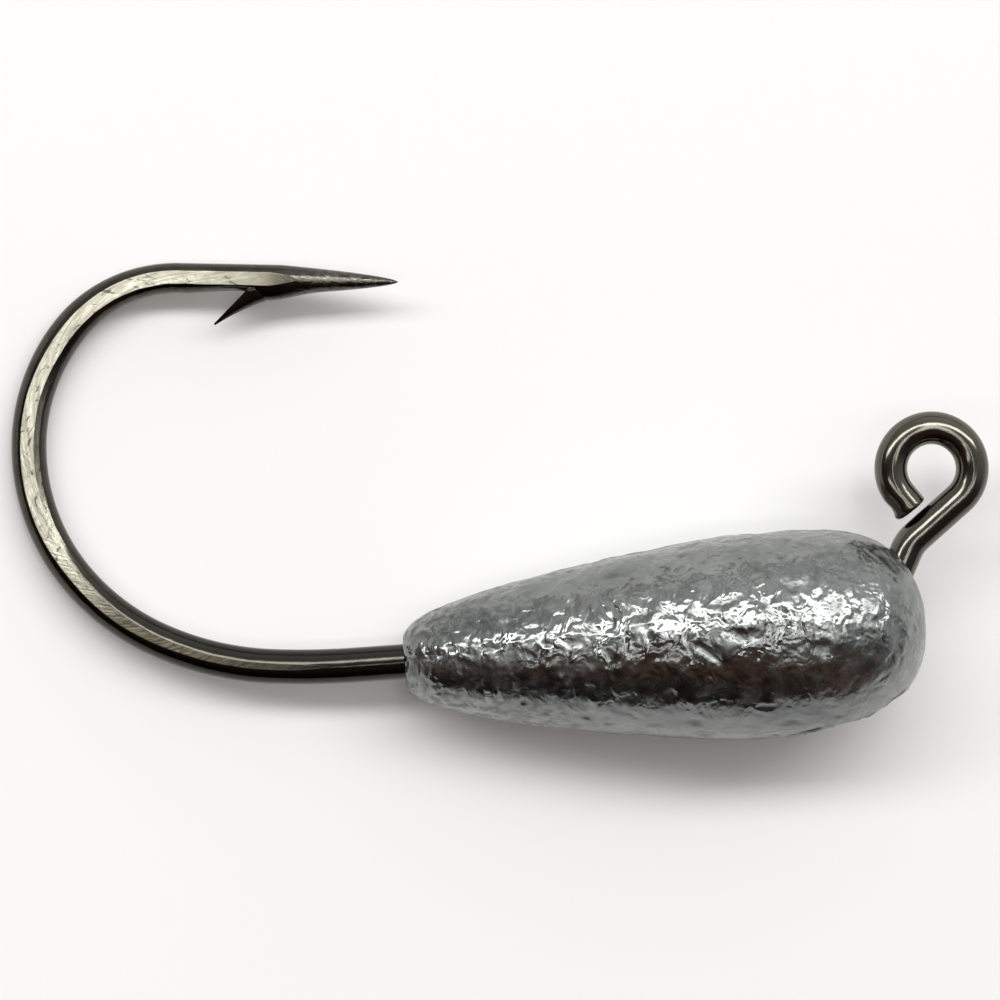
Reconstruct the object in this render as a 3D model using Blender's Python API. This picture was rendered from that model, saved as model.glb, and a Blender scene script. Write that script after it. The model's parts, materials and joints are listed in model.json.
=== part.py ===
"""Jig head: a forged 60 degree jig hook with a lead head cast round its shank.

The jig's own frame has its origin at the middle of the head's tail face: x runs along the shank
towards the nose, y towards the hook point and the line eye, and z is across the flat side of the
hook.  An empty carries both pieces and lays them on their side, as they come to rest on a table.
"""
import bmesh
import bpy
from math import acos, cos, pi, radians, sin, sqrt, tan
from mathutils import Matrix, Vector

MM = 0.001

# Wire of the hook.
SHANK_R = 0.675 * MM
EYE_WIRE_R = 0.635 * MM
FLAT_HALF_WIDTH = 0.27 * MM         # half the width of each forged flat
FLAT_START = 4.0 * MM               # the flats start this far from the hook point
FLAT_START_FADE = 1.0 * MM
FLAT_END_FADE = 4.0 * MM            # and fade out over this length before the lead
WIRE_SIDES = 16

# The hook's centre line, from the tail face round to the point: a straight, then arcs as
# (radius, turn in degrees), then the straight point.
REAR_SHANK = 1.92 * MM
BEND_ARCS = (
    (29.8 * MM, 6.2),
    (11.66 * MM, 22.2),
    (8.84 * MM, 25.4),
    (7.87 * MM, 41.0),
    (7.25 * MM, 37.7),
    (5.24 * MM, 52.6),
)
POINT_LENGTH = 8.44 * MM
BEND_STEP = 5.0                     # degrees between the sections of a bend
SHANK_PIECES = 5

# The needle point: its half width is NEEDLE_SCALE * (distance from the tip) ** NEEDLE_POWER.
NEEDLE_SCALE = 0.235 * MM
NEEDLE_POWER = 0.6
NEEDLE_FULL_R = 0.60 * MM           # half width of the wire behind the point
NEEDLE_SECTIONS = (0.05, 0.25, 0.6, 1.1, 1.8, 2.7, 3.6, 4.4, 5.0, 5.5, 5.9, 6.6, 7.6)
SHANK_FADE = 6.0 * MM               # length over which the wire grows from there to the shank

# The barb, measured back from the tip and inwards from the point's centre line.
BARB_ROOT = (4.95 * MM, 0.66 * MM)
BARB_TIP = (7.15 * MM, 1.82 * MM)
BARB_CROTCH = (5.90 * MM, 0.42 * MM)
BARB_BURIED = (5.30 * MM, 0.15 * MM)
BARB_TIP_CREST = (7.11 * MM, 1.78 * MM)
SHOULDER_SHARE = 0.65               # the sliver's rounded shoulder, from cut side to crest
SHOULDER_WIDTH = 0.8                # widths there and at the crest, as shares of the cut side's
CREST_WIDTH = 0.3
BARB_ROOT_HALF_WIDTH = 0.42 * MM
BARB_TIP_HALF_WIDTH = 0.10 * MM
BARB_CUT_END = 5.25 * MM            # where the wire's swelling turns into the scoop
SCOOP_DEPTH = 0.20 * MM             # how far the chisel thins the wire behind the barb
SCOOP_LENGTH = 2.6 * MM
SCOOP_STEEPNESS = 2.5
SWELL = 0.12 * MM                   # the wire's swelling just in front of the barb
SWELL_LENGTH = 2.3 * MM

# The front end: the bend inside the lead, the leg, its kink and the line eye.
NOSE_VERTEX = 18.07 * MM            # where the shank's and the leg's centre lines meet
NOSE_TURN = 62.7
NOSE_BEND_R = 2.3 * MM
LEG_LENGTH = 3.60 * MM              # from the nose vertex to the kink's vertex
KINK_TURN = -25.0
KINK_R = 1.5 * MM
LEG_TO_EYE = 2.51 * MM              # from the kink's vertex to the start of the ring
EYE_R = 1.57 * MM                   # centre line of the ring
EYE_TURN = 268.0
EYE_TAIL = 0.76 * MM                # straight from the ring to the cut end
EYE_STEP = 9.5                      # degrees between the sections of the ring
EYE_FADE = 1.0 * MM                 # length over which the shank thins to the eye's wire

# The lead head, a turned shape: tail, long swelling body and blunt nose.
HEAD_R = 3.93 * MM
TAIL_R = 1.04 * MM                  # edge of the flat tail face
BODY_R0 = 0.89 * MM
BODY_LENGTH = 12.6 * MM
BODY_POWER = 1.05
NOSE_START = 15.0 * MM
NOSE_LENGTH = 5.06 * MM
NOSE_POWER = 2.6                    # of the nose's superellipse
NOSE_FLAT_R = 0.3 * MM              # the tip of the nose is flat this far out
HEAD_SIDES = 32
BODY_RINGS = 12
NOSE_RINGS = 9
SHANK_CLEARANCE = 0.05 * MM         # gap between the wire and the lead moulded round it
TUNNEL_OVERRUN = 1.0 * MM           # the tunnel's tool starts this far behind the tail face
TUNNEL_RISE = 2.6 * MM              # its straight after the nose bend, which ends outside the lead

# The gate scar: a shallow flat cut on the belly, rising towards the nose.
SCAR_START = 15.8 * MM
SCAR_SLOPE = 12.0                   # degrees to the shank
SCAR_TOOL = 9.0 * MM                # side of the cube that cuts it
SCAR_TOOL_LEAD = 1.0 * MM           # how much of the cube lies behind the scar's start

# Attitude at rest on a table, in degrees: it lies on the taper of the head's flank and on the
# far side of the bend, so the nose is a little higher than the bend.
REST_ROLL = -1.51
REST_PITCH = -6.52


def material(name, colour, roughness, metallic):
    """A Principled material of one colour."""
    made = bpy.data.materials.new(name)
    made.use_nodes = True
    shader = made.node_tree.nodes["Principled BSDF"]
    shader.inputs["Base Color"].default_value = (*colour, 1.0)
    shader.inputs["Roughness"].default_value = roughness
    shader.inputs["Metallic"].default_value = metallic
    return made


def new_object(name, mesh, parent=None, finish=None):
    """Link a mesh into the scene as a named object."""
    made = bpy.data.objects.new(name, mesh)
    bpy.context.scene.collection.objects.link(made)
    made.parent = parent
    if finish:
        mesh.materials.append(finish)
    return made


class Walk:
    """A centre line in the hook's plane, laid down as straights and arcs.

    Each station is (point, heading, distance walked)."""

    def __init__(self, start, heading):
        self.at = Vector(start)
        self.heading = heading
        self.walked = 0.0
        self.stations = [(self.at.copy(), heading, 0.0)]

    def mark(self):
        """Keep the present place as a station."""
        self.stations.append((self.at.copy(), self.heading, self.walked))

    def straight(self, length, pieces=1):
        """Go straight on."""
        for _ in range(pieces):
            step = length / pieces
            self.at = self.at + step * Vector((cos(self.heading), sin(self.heading)))
            self.walked += step
            self.mark()

    def turn(self, radius, degrees, step):
        """Follow an arc, to the left for positive degrees."""
        pieces = max(2, round(abs(degrees) / step))
        angle = radians(degrees) / pieces
        chord = 2 * radius * sin(abs(angle) / 2)
        for _ in range(pieces):
            half_way = self.heading + angle / 2
            self.at = self.at + chord * Vector((cos(half_way), sin(half_way)))
            self.heading += angle
            self.walked += radius * abs(angle)
            self.mark()


def rear_walk():
    """From the tail face round the bend to the hook point."""
    walk = Walk((0.0, 0.0), pi)
    walk.straight(REAR_SHANK, 2)
    for radius, degrees in BEND_ARCS:
        walk.turn(radius, -degrees, BEND_STEP)
    return walk


def front_walk(tunnel_only=False):
    """From the tail face through the lead, up the leg and round the eye."""
    walk = Walk((0.0, 0.0), 0.0)
    nose_tangent = NOSE_BEND_R * tan(radians(NOSE_TURN) / 2)
    kink_tangent = KINK_R * tan(radians(abs(KINK_TURN)) / 2)
    walk.straight(NOSE_VERTEX - nose_tangent, SHANK_PIECES)
    walk.turn(NOSE_BEND_R, NOSE_TURN, EYE_STEP)
    if tunnel_only:
        walk.straight(TUNNEL_RISE)
        return walk
    walk.straight(LEG_LENGTH - nose_tangent - kink_tangent)
    walk.turn(KINK_R, KINK_TURN, EYE_STEP)
    walk.straight(LEG_TO_EYE - kink_tangent)
    walk.turn(EYE_R, EYE_TURN, EYE_STEP)
    walk.straight(EYE_TAIL)
    return walk


def wire_section(outer, inner, across, flat):
    """One section of the wire as (in-plane, lateral) pairs.

    outer and inner are its half widths in the hook's plane, across its lateral half width, and
    flat the half width of the forged flats, 0 where the wire is round."""
    plain = pi / 2 - pi / WIRE_SIDES
    edge = min(acos(min(1.0, flat / outer)), plain) if flat else plain
    half = WIRE_SIDES // 2
    angles = [-edge + 2 * edge * k / (half - 1) for k in range(half)]
    section = [(outer * cos(a), across * sin(a)) for a in angles]
    section += [(-inner * cos(a), -across * sin(a)) for a in angles]
    return section


def skin(made, rings):
    """Join rings of vertices into one closed body with flat ends."""
    for near, far in zip(rings, rings[1:]):
        for k in range(len(near)):
            n = (k + 1) % len(near)
            made.faces.new((near[k], near[n], far[n], far[k]))
    made.faces.new(rings[0])
    made.faces.new(rings[-1])
    bmesh.ops.recalc_face_normals(made, faces=made.faces)


def sweep(stations, section_at):
    """Carry a section along a centre line."""
    made = bmesh.new()
    rings = []
    for at, heading, walked in stations:
        side = Vector((sin(heading), -cos(heading)))
        ring = []
        for in_plane, lateral in section_at(walked):
            place = at + in_plane * side
            ring.append(made.verts.new((place.x, place.y, lateral)))
        rings.append(ring)
    skin(made, rings)
    return made


def smooth_step(value):
    """0 to 1 with flat ends."""
    value = min(1.0, max(0.0, value))
    return value * value * (3 - 2 * value)


def hook_stations():
    """Stations from the hook point to the eye's cut end, with the distances of the tail face
    and of the cut end from the point."""
    rear = rear_walk()
    front = front_walk()
    bend_end, heading, bend_walked = rear.stations[-1]
    along = Vector((cos(heading), sin(heading)))
    to_tail = bend_walked + POINT_LENGTH
    stations = []
    for from_tip in NEEDLE_SECTIONS:
        distance = from_tip * MM
        place = bend_end + (POINT_LENGTH - distance) * along
        stations.append((place, heading + pi, distance))
    for at, angle, walked in reversed(rear.stations):
        stations.append((at, angle + pi, to_tail - walked))
    for at, angle, walked in front.stations[1:]:
        stations.append((at, angle, to_tail + walked))
    return stations, to_tail, to_tail + front.walked


def wire_radius(distance, eye_from):
    """Half width of the wire at a distance from the hook point."""
    if distance > eye_from:
        return SHANK_R + (EYE_WIRE_R - SHANK_R) * smooth_step((distance - eye_from) / EYE_FADE)
    if distance > POINT_LENGTH:
        grown = smooth_step((distance - POINT_LENGTH) / SHANK_FADE)
        return NEEDLE_FULL_R + (SHANK_R - NEEDLE_FULL_R) * grown
    return min(NEEDLE_SCALE * (distance / MM) ** NEEDLE_POWER, NEEDLE_FULL_R)


def barb_relief(distance):
    """What the barb's cut adds to the wire's inner side, or takes from it behind the barb."""
    past = distance - BARB_CUT_END
    if past < 0:
        return SWELL * smooth_step(1 + past / SWELL_LENGTH)
    if past > SCOOP_LENGTH:
        return 0.0
    share = past / SCOOP_LENGTH
    return -SCOOP_DEPTH * sqrt(smooth_step(SCOOP_STEEPNESS * share)) * (1 - share)


def hook_section_at(to_tail, to_cut_end):
    """The wire's section as a function of the distance from the hook point."""
    eye_from = to_cut_end - (EYE_TAIL + EYE_R * radians(EYE_TURN) + LEG_TO_EYE + LEG_LENGTH)

    def section(distance):
        outer = wire_radius(distance, eye_from)
        inner = outer + barb_relief(distance)
        flat = FLAT_HALF_WIDTH * smooth_step((distance - FLAT_START) / FLAT_START_FADE)
        flat *= smooth_step((to_tail - distance) / FLAT_END_FADE)
        return wire_section(outer, inner, outer, flat)

    return section


def midpoint(first, second):
    """Half way between two pairs."""
    return tuple((a + b) / 2 for a, b in zip(first, second))


def build_barb(parent):
    """The barb's raised sliver: round on its outer edge, flat on its cut side."""
    bend_end, heading, _ = rear_walk().stations[-1]
    along = Vector((cos(heading), sin(heading)))
    inwards = Vector((sin(heading), -cos(heading)))
    made = bmesh.new()

    def corner(place, lateral):
        """A vertex at (back from the hook point, inwards) and across."""
        back, inner = place
        flat_place = bend_end + (POINT_LENGTH - back) * along + inner * inwards
        return made.verts.new((flat_place.x, flat_place.y, lateral))

    sections = (
        (BARB_ROOT, BARB_BURIED, BARB_ROOT_HALF_WIDTH),
        (midpoint(BARB_ROOT, BARB_TIP), midpoint(BARB_CROTCH, BARB_TIP),
         (BARB_ROOT_HALF_WIDTH + BARB_TIP_HALF_WIDTH) / 2),
        (BARB_TIP_CREST, BARB_TIP, BARB_TIP_HALF_WIDTH),
    )
    rings = []
    for crest, cut_side, width in sections:
        shoulder = tuple(
            cut_value + SHOULDER_SHARE * (crest_value - cut_value)
            for cut_value, crest_value in zip(cut_side, crest))
        half_ring = ((cut_side, 1.0), (shoulder, SHOULDER_WIDTH), (crest, CREST_WIDTH))
        ring = [corner(place, -share * width) for place, share in half_ring]
        ring += [corner(place, share * width) for place, share in reversed(half_ring)]
        rings.append(ring)
    skin(made, rings)
    return tool("barb_tool", made, parent)


def tool(name, made, parent):
    """A closed body that joins or cuts another, and is left out of the model."""
    mesh = bpy.data.meshes.new(name)
    made.to_mesh(mesh)
    made.free()
    body = new_object(name, mesh, parent)
    body.hide_render = True
    body.display_type = "WIRE"
    return body


def combine(target, body, operation):
    """Join a tool body to an object, or cut it away."""
    step = target.modifiers.new(body.name, "BOOLEAN")
    step.operation = operation
    step.solver = "EXACT"
    step.object = body


def build_hook(parent, finish):
    """The hook's wire with its barb joined on."""
    stations, to_tail, to_cut_end = hook_stations()
    wire = sweep(stations, hook_section_at(to_tail, to_cut_end))
    mesh = bpy.data.meshes.new("hook")
    wire.to_mesh(mesh)
    wire.free()
    hook = new_object("hook", mesh, parent, finish)
    combine(hook, build_barb(parent), "UNION")
    return hook


def head_profile():
    """(x, radius) rings of the lead head, from the tail face to the nose."""
    rings = [(0.0, TAIL_R)]
    for k in range(1, BODY_RINGS + 1):
        share = (k / BODY_RINGS) ** 2
        swell = sqrt(1 - (1 - share) ** BODY_POWER)
        rings.append((BODY_LENGTH * share, BODY_R0 + (HEAD_R - BODY_R0) * swell))
    rings.append((NOSE_START, HEAD_R))
    for k in range(1, NOSE_RINGS):
        angle = pi / 2 * k / NOSE_RINGS
        x = NOSE_START + NOSE_LENGTH * sin(angle) ** (2 / NOSE_POWER)
        rings.append((x, HEAD_R * cos(angle) ** (2 / NOSE_POWER)))
    rings.append((NOSE_START + NOSE_LENGTH, NOSE_FLAT_R))
    return rings


def build_head(parent, finish):
    """The cast lead head, with its tunnel for the wire and its gate scar."""
    made = bmesh.new()
    step = 2 * pi / HEAD_SIDES
    rings = []
    for x, radius in head_profile():
        rings.append([
            made.verts.new((x, radius * cos(step * k), radius * sin(step * k)))
            for k in range(HEAD_SIDES)])
    skin(made, rings)
    mesh = bpy.data.meshes.new("lead head")
    made.to_mesh(mesh)
    made.free()
    head = new_object("lead_head", mesh, parent, finish)

    walk = front_walk(tunnel_only=True)
    first, heading, _ = walk.stations[0]
    stations = [(first - Vector((TUNNEL_OVERRUN, 0.0)), heading, 0.0)] + walk.stations[1:]
    bore = SHANK_R + SHANK_CLEARANCE
    tunnel = sweep(stations, lambda _: wire_section(bore, bore, bore, 0.0))
    combine(head, tool("tunnel_tool", tunnel, parent), "DIFFERENCE")

    scar = bmesh.new()
    bmesh.ops.create_cube(scar, size=SCAR_TOOL)
    shift = Matrix.Translation((SCAR_TOOL / 2 - SCAR_TOOL_LEAD, -SCAR_TOOL / 2, 0.0))
    slope = Matrix.Rotation(radians(SCAR_SLOPE), 4, "Z")
    drop = Matrix.Translation((SCAR_START, -HEAD_R, 0.0))
    bmesh.ops.transform(scar, matrix=drop @ slope @ shift, verts=scar.verts)
    combine(head, tool("gate_scar_tool", scar, parent), "DIFFERENCE")
    return head


def lay_down(frame, pieces):
    """Tilt the jig to its rest attitude, with the middle of its footprint at the origin."""
    frame.rotation_euler = (radians(REST_ROLL), radians(REST_PITCH), 0.0)
    bpy.context.view_layer.update()
    depsgraph = bpy.context.evaluated_depsgraph_get()
    corners = []
    for piece in pieces:
        evaluated = piece.evaluated_get(depsgraph)
        corners += [evaluated.matrix_world @ v.co for v in evaluated.data.vertices]
    low = [min(c[axis] for c in corners) for axis in range(3)]
    high = [max(c[axis] for c in corners) for axis in range(3)]
    frame.location = (-(low[0] + high[0]) / 2, -(low[1] + high[1]) / 2, -low[2])


def main():
    """Build the jig head."""
    for thing in list(bpy.data.objects):
        bpy.data.objects.remove(thing, do_unlink=True)
    frame = bpy.data.objects.new("jig_frame", None)
    bpy.context.scene.collection.objects.link(frame)
    hook = build_hook(frame, material("black_nickel", (0.045, 0.043, 0.038), 0.25, 1.0))
    head = build_head(frame, material("cast_lead", (0.22, 0.23, 0.23), 0.45, 1.0))
    lay_down(frame, (hook, head))


main()
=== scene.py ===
import json
from math import cos, pi, radians, sin, tan

import bmesh
import bpy
import numpy as np
from mathutils import Matrix, Vector, noise


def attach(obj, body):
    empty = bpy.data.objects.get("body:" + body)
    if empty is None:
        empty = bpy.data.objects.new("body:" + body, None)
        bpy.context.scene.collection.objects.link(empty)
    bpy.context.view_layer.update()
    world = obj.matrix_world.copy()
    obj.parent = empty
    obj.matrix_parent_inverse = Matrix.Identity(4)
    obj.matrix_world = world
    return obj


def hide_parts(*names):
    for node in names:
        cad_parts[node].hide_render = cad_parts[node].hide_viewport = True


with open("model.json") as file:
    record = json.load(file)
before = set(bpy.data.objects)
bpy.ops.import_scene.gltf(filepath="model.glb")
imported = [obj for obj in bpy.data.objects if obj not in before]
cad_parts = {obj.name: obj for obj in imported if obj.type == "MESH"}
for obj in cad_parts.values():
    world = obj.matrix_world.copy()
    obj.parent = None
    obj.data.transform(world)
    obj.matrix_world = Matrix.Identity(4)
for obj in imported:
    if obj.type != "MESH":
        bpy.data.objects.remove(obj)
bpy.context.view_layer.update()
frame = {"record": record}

MM = 0.001

# ---------------------------------------------------------------- sizes, in millimetres
SHANK_R = 0.675
EYE_WIRE_R = 0.635
TAIL_MOUNT_OFFSET = 0.88  # from the shank's axis to the tail_face mount

# The hook's centre line from the tail face round to the point, and from there to the eye.
REAR_SHANK = 1.92
BEND_ARCS = ((29.8, 6.2), (11.66, 22.2), (8.84, 25.4), (7.87, 41.0), (7.25, 37.7), (5.24, 52.6))
POINT_LENGTH = 8.44
NOSE_VERTEX = 18.07
NOSE_TURN = 62.7
NOSE_BEND_R = 2.3
LEG_LENGTH = 3.60
KINK_TURN = -25.0
KINK_R = 1.5
LEG_TO_EYE = 2.51
EYE_R = 1.57
EYE_TURN = 268.0
EYE_TAIL = 0.76
# Steps between the stations along it.
BEND_STEP = 0.16
POINT_STEP = 0.1
HIDDEN_STEP = 1.0
KINK_STEP = 0.08
EYE_STEP = 0.12
EYE_TAIL_STEP = 0.04

# Needle point, and the chisel cut behind the barb. The wire swells before the cut, and is
# scooped out after it.
NEEDLE_SCALE = 0.235
NEEDLE_POWER = 0.6
NEEDLE_FULL_R = 0.58
NEEDLE_START = 0.004
SHANK_FADE = 6.0
BARB_CUT_END = 5.25
SCOOP_DEPTH = 0.20
SCOOP_LENGTH = 2.6
SCOOP_STEEPNESS = 2.5
SWELL = 0.24
SWELL_LENGTH = 2.3
SWELL_END = 0.4
SWELL_SIDE = radians(105.0)  # where round the wire the swell and the scoop begin
SWELL_SIDE_SPAN = radians(55.0)

# The barb's two edges, each a curve of three points (back from the point, inwards).
BARB_CREST = ((4.5, 0.66), (5.75, 0.98), (7.02, 1.80))
BARB_CUT = ((5.28, -0.1), (6.1, 0.75), (7.06, 1.74))
BARB_HALF_WIDTH = 0.46
BARB_TAPER = 0.56
BARB_TAPER_POWER = 0.8
BARB_TIP_HALF_WIDTH = 0.02
BARB_RINGS = 26
BARB_SIDES = 15
# Where its points lie, and how far back along the wire its finish is taken from.
BARB_BACK = (4.5, 7.5)
BARB_INWARDS = (0.42, 2.4)
BARB_FINISH_SHIFT = 1.0

# Forged flats, by their distance from the point. They narrow from some places on, each
# (start, length, loss), and turn a little from the sideways direction round the bend. The
# stretch on the bend's left has a bevel beside the flat.
FLAT_HALF_WIDTH = 0.25
FLAT_START = 3.95
FLAT_RISE = 1.0
FLAT_RISE_POWER = 0.45
FLAT_STOP = 2.3  # before the tail face
FLAT_FADE = 2.2
FLAT_NARROWING = ((19.0, 5.0, 0.05), (24.0, 6.0, 0.085))
FLAT_TURNS = ((9.0, 4.0, 4.0), (23.0, 3.0, -3.5))
FLAT_FULL_FORGE = 0.1
FLAT_JITTER = 0.02
BEVEL_START, BEVEL_RISE = 14.0, 2.4
BEVEL_STOP, BEVEL_FADE = 24.0, 3.0
BEVEL_TURN = 5.0
BEVEL_SPAN = radians(21.0)
BEVEL_FORGED = 0.45
CREASE_SPAN = radians(1.6)
SHARP_EDGE = radians(32.0)

# The eye's cut end: its rounding, and the pinched burr as (from the end, half length, height).
END_ROUNDING = 0.16
END_ROUNDING_LENGTH = 0.12
END_BURR = ((0.18, 0.14, 0.085), (0.60, 0.18, -0.035))

# Lead head.
HEAD_R = 3.93
HEAD_LENGTH = 20.06
TAIL_R = 1.04
BODY_R0 = 0.89
BODY_LENGTH = 12.6
BODY_POWER = 1.05
NOSE_START = 15.0
NOSE_POWER_TOP = 2.6
NOSE_POWER_BELLY = 2.25
# The gate's cut on the belly: a facet from SCAR_START, and a steeper one through SCAR_BREAK.
SCAR_START = 14.5
SCAR_SLOPE = 12.0
SCAR_BREAK = (17.3, -3.42)
SCAR_END_SLOPE = 27.5
SCAR_END = 19.6
SCAR_TORN = 0.045
SCAR_FULL_DEPTH = 0.03
SCAR_BURR = 0.06
SCAR_BURR_PLACE, SCAR_BURR_WIDTH = 0.02, 0.035
SCAR_CREASE_PLACE, SCAR_CREASE_WIDTH = 0.09, 0.04
# The wire's tunnel, and the meshes.
WIRE_FIT = 0.01
TUNNEL_SPAN = (-1.0, 22.2)  # along the wire, from the tail face
TUNNEL_SIDES = 64
HEAD_RINGS = 330
HEAD_SIDES = 340
OUTLINE_POINTS = 900
LEAST_TURN_R = 0.8  # marks are laid out round the axis as if at least this far from it
SEAM_CROWDING = 0.45
SEAM_WIDTH = 0.075
SEAM_HEIGHT = 0.035

# The cast skin, each layer with its height and wavelength: broad swells, lumps, fine lumps,
# and sharp ridges. The lumps and ridges grow towards the nose.
BROAD_HEIGHT, BROAD_SIZE = 0.03, 5.0
LUMP_HEIGHT, LUMP_GROWTH, LUMP_SIZE = 0.014, 0.020, 1.7
FINE_HEIGHT, FINE_SIZE = 0.004, 0.5
RIDGE_HEIGHT, RIDGE_GROWTH, RIDGE_SIZE = 0.012, 0.010, 1.05
WARP, WARP_SIZE = 0.16, 0.8

# A dent's raised rim, in shares of the dent's own size and depth.
RIM_PLACE = 1.45
RIM_WIDTH = 0.35
RIM_HEIGHT = 0.15

# Marks on the casting, at (millimetres from the tail, degrees from the hook's side):
# half sizes along and across, direction in degrees, depth.
DENTS = (
    ((12.90, 87.0), (0.55, 0.26), -5.0, 0.13),
    ((12.15, 94.0), (0.30, 0.42), 20.0, -0.08),
    ((11.44, 95.5), (0.50, 0.13), -37.0, 0.12),
    ((15.79, 96.5), (0.36, 0.22), 10.0, 0.10),
    ((6.59, 83.3), (0.34, 0.14), 8.0, 0.055),
    ((5.50, 82.9), (0.22, 0.13), -15.0, 0.045),
    ((3.38, 82.5), (0.36, 0.10), 0.0, 0.035),
    ((13.60, 130.8), (0.34, 0.12), 5.0, 0.08),
    ((4.25, 114.0), (0.12, 0.30), 15.0, -0.04),
    ((14.80, 62.0), (0.30, 0.18), 30.0, 0.05),
    ((19.76, 0.0), (0.30, 0.80), 0.0, 0.16),
    ((9.20, 70.0), (0.35, 0.20), 10.0, 0.04),
    ((10.50, 262.0), (0.50, 0.25), 25.0, 0.10),
    ((14.20, 285.0), (0.40, 0.30), -20.0, 0.09),
    ((7.30, 240.0), (0.32, 0.16), 0.0, 0.06),
    ((4.60, 300.0), (0.28, 0.14), 10.0, 0.05),
)
# Random pits: their least and greatest distance from the tail, half size, and so on.
PIT_COUNT = 130
PIT_REACH = (0.8, 19.0)
PIT_SIZES = (0.10, 0.26)
PIT_STRETCHES = (1.0, 2.0)
PIT_DIRECTIONS = (-40.0, 40.0)
PIT_DEPTHS = (0.02, 0.055)
# Cold folds beside the leg: points of each line, half width, depth.
FOLDS = (
    (((17.4, 28.0), (18.1, 25.0), (18.7, 17.0), (19.1, 6.0)), 0.10, 0.14),
    (((18.0, 27.0), (18.4, 33.0), (18.8, 43.0)), 0.085, 0.12),
    (((18.4, 19.0), (18.8, 27.0), (19.2, 32.0)), 0.09, 0.12),
    (((17.5, 332.0), (18.2, 326.0), (18.9, 322.0)), 0.07, 0.07),
)

# Colours of the finishes.
LEAD_PLAIN = (0.27, 0.283, 0.28)
LEAD_DARK = (0.24, 0.254, 0.252)
LEAD_PALE = (0.30, 0.312, 0.308)
LEAD_OXIDE = (0.17, 0.172, 0.17)
LEAD_DULL = (0.10, 0.104, 0.104)
# Painted shade on the belly's side.
LEAD_BELLY_SHADE = (0.165, 0.172, 0.172)
# Painted shade for the hollows, the folds and the gate's crease.
LEAD_HOLLOW_SHADE = (0.022, 0.021, 0.019)
LEAD_CUT = (0.20, 0.203, 0.2)
NICKEL = (0.075, 0.07, 0.058)
NICKEL_DEEP = (0.055, 0.051, 0.044)
# Painted shade on the lower bend and the shank.
NICKEL_LOWER_BEND_SHADE = (0.042, 0.040, 0.035)
NICKEL_TIP = (0.24, 0.23, 0.205)
EYE_PALE = (0.145, 0.137, 0.116)
EYE_DARK = (0.10, 0.095, 0.081)
# The flats' pale tones are painted reflection of the key light.
FLAT_SHADED = (0.37, 0.36, 0.29)
FLAT_PAINTED_SHEEN = (0.79, 0.775, 0.66)
FLAT_WORN = (0.36, 0.34, 0.26)
FLAT_MARK = (0.07, 0.064, 0.05)
FLAT_UPPER = (0.19, 0.175, 0.125)
GOLD_DARK = (0.042, 0.037, 0.026)
GOLD_PALE = (0.145, 0.131, 0.092)
PAPER = (0.88, 0.88, 0.88)

# The sheet that the jig lies on, in millimetres and degrees.
FLOOR_FLAT = 450.0
FLOOR_SWEEP = 220.0
FLOOR_RIM_ANGLE = 62.0
FLOOR_SIDES = 96
FLOOR_RISE_RINGS = 12
FLOOR_INNER = (20.0, 200.0)
FLOOR_GAP = 0.01

# The camera and the lights, in millimetres and degrees in the jig's frame.
VIEW_CENTRE = (4.09, 5.94)
VIEW_WIDTH = 38.5
VIEW_ROLL = 4.05
LENS = 150.0
SENSOR = 36.0
LIGHT_CENTRE = (4.0, 4.0)
LIGHT_DISTANCE = 500.0

# The room's colours from the belly's side round to the other, and how far it is turned.
ROOM_TURN = 24.0
ROOM_STOPS = (
    (0.02, (0.012, 0.010, 0.009)),
    (0.12, (0.034, 0.025, 0.021)),
    (0.24, (0.135, 0.070, 0.045)),
    (0.36, (0.080, 0.064, 0.056)),
    (0.48, (0.12, 0.125, 0.13)),
    (0.62, (0.44, 0.44, 0.44)),
    (0.82, (0.66, 0.64, 0.64)),
    (0.95, (0.92, 0.93, 0.93)),
)

RNG = np.random.default_rng(7)


# ---------------------------------------------------------------- the jig's own frame
def jig_matrix():
    """The jig's frame in the world, from the record's two mounts: x along the shank to the
    nose, y towards the hook point, z across the hook's plane, origin at the tail's centre."""
    mounts = {m["name"]: m for m in frame["record"]["mounts"]}
    x_axis = -Vector(mounts["tail_face"]["axis"]).normalized()
    z_axis = Vector(mounts["line_eye"]["axis"]).normalized()
    y_axis = z_axis.cross(x_axis).normalized()
    z_axis = x_axis.cross(y_axis).normalized()
    origin = Vector(mounts["tail_face"]["pos_m"]) - TAIL_MOUNT_OFFSET * MM * y_axis
    matrix = Matrix((x_axis, y_axis, z_axis)).transposed().to_4x4()
    matrix.translation = origin
    return matrix


JIG = jig_matrix()


# ---------------------------------------------------------------- helpers
def smooth_step(value):
    """0 to 1 with flat ends."""
    value = np.clip(value, 0.0, 1.0)
    return value * value * (3 - 2 * value)


def wobble(points, size, seed, octaves):
    """Soft noise, about -1 to 1, at each point; size is its wavelength in the points' unit."""
    shift = Vector((seed * 17.3, seed * 5.1, seed * 9.7))
    return np.array([noise.fractal(Vector(p) / size + shift, 1.0, 2.0, octaves) for p in points])


def mark_points(mesh, name, kind, values):
    """Store a value or a vector for each vertex, for the finishes to read."""
    mark = mesh.attributes.new(name, kind, "POINT")
    field = "value" if kind == "FLOAT" else "vector"
    mark.data.foreach_set(field, np.asarray(values, np.float32).ravel())


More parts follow.
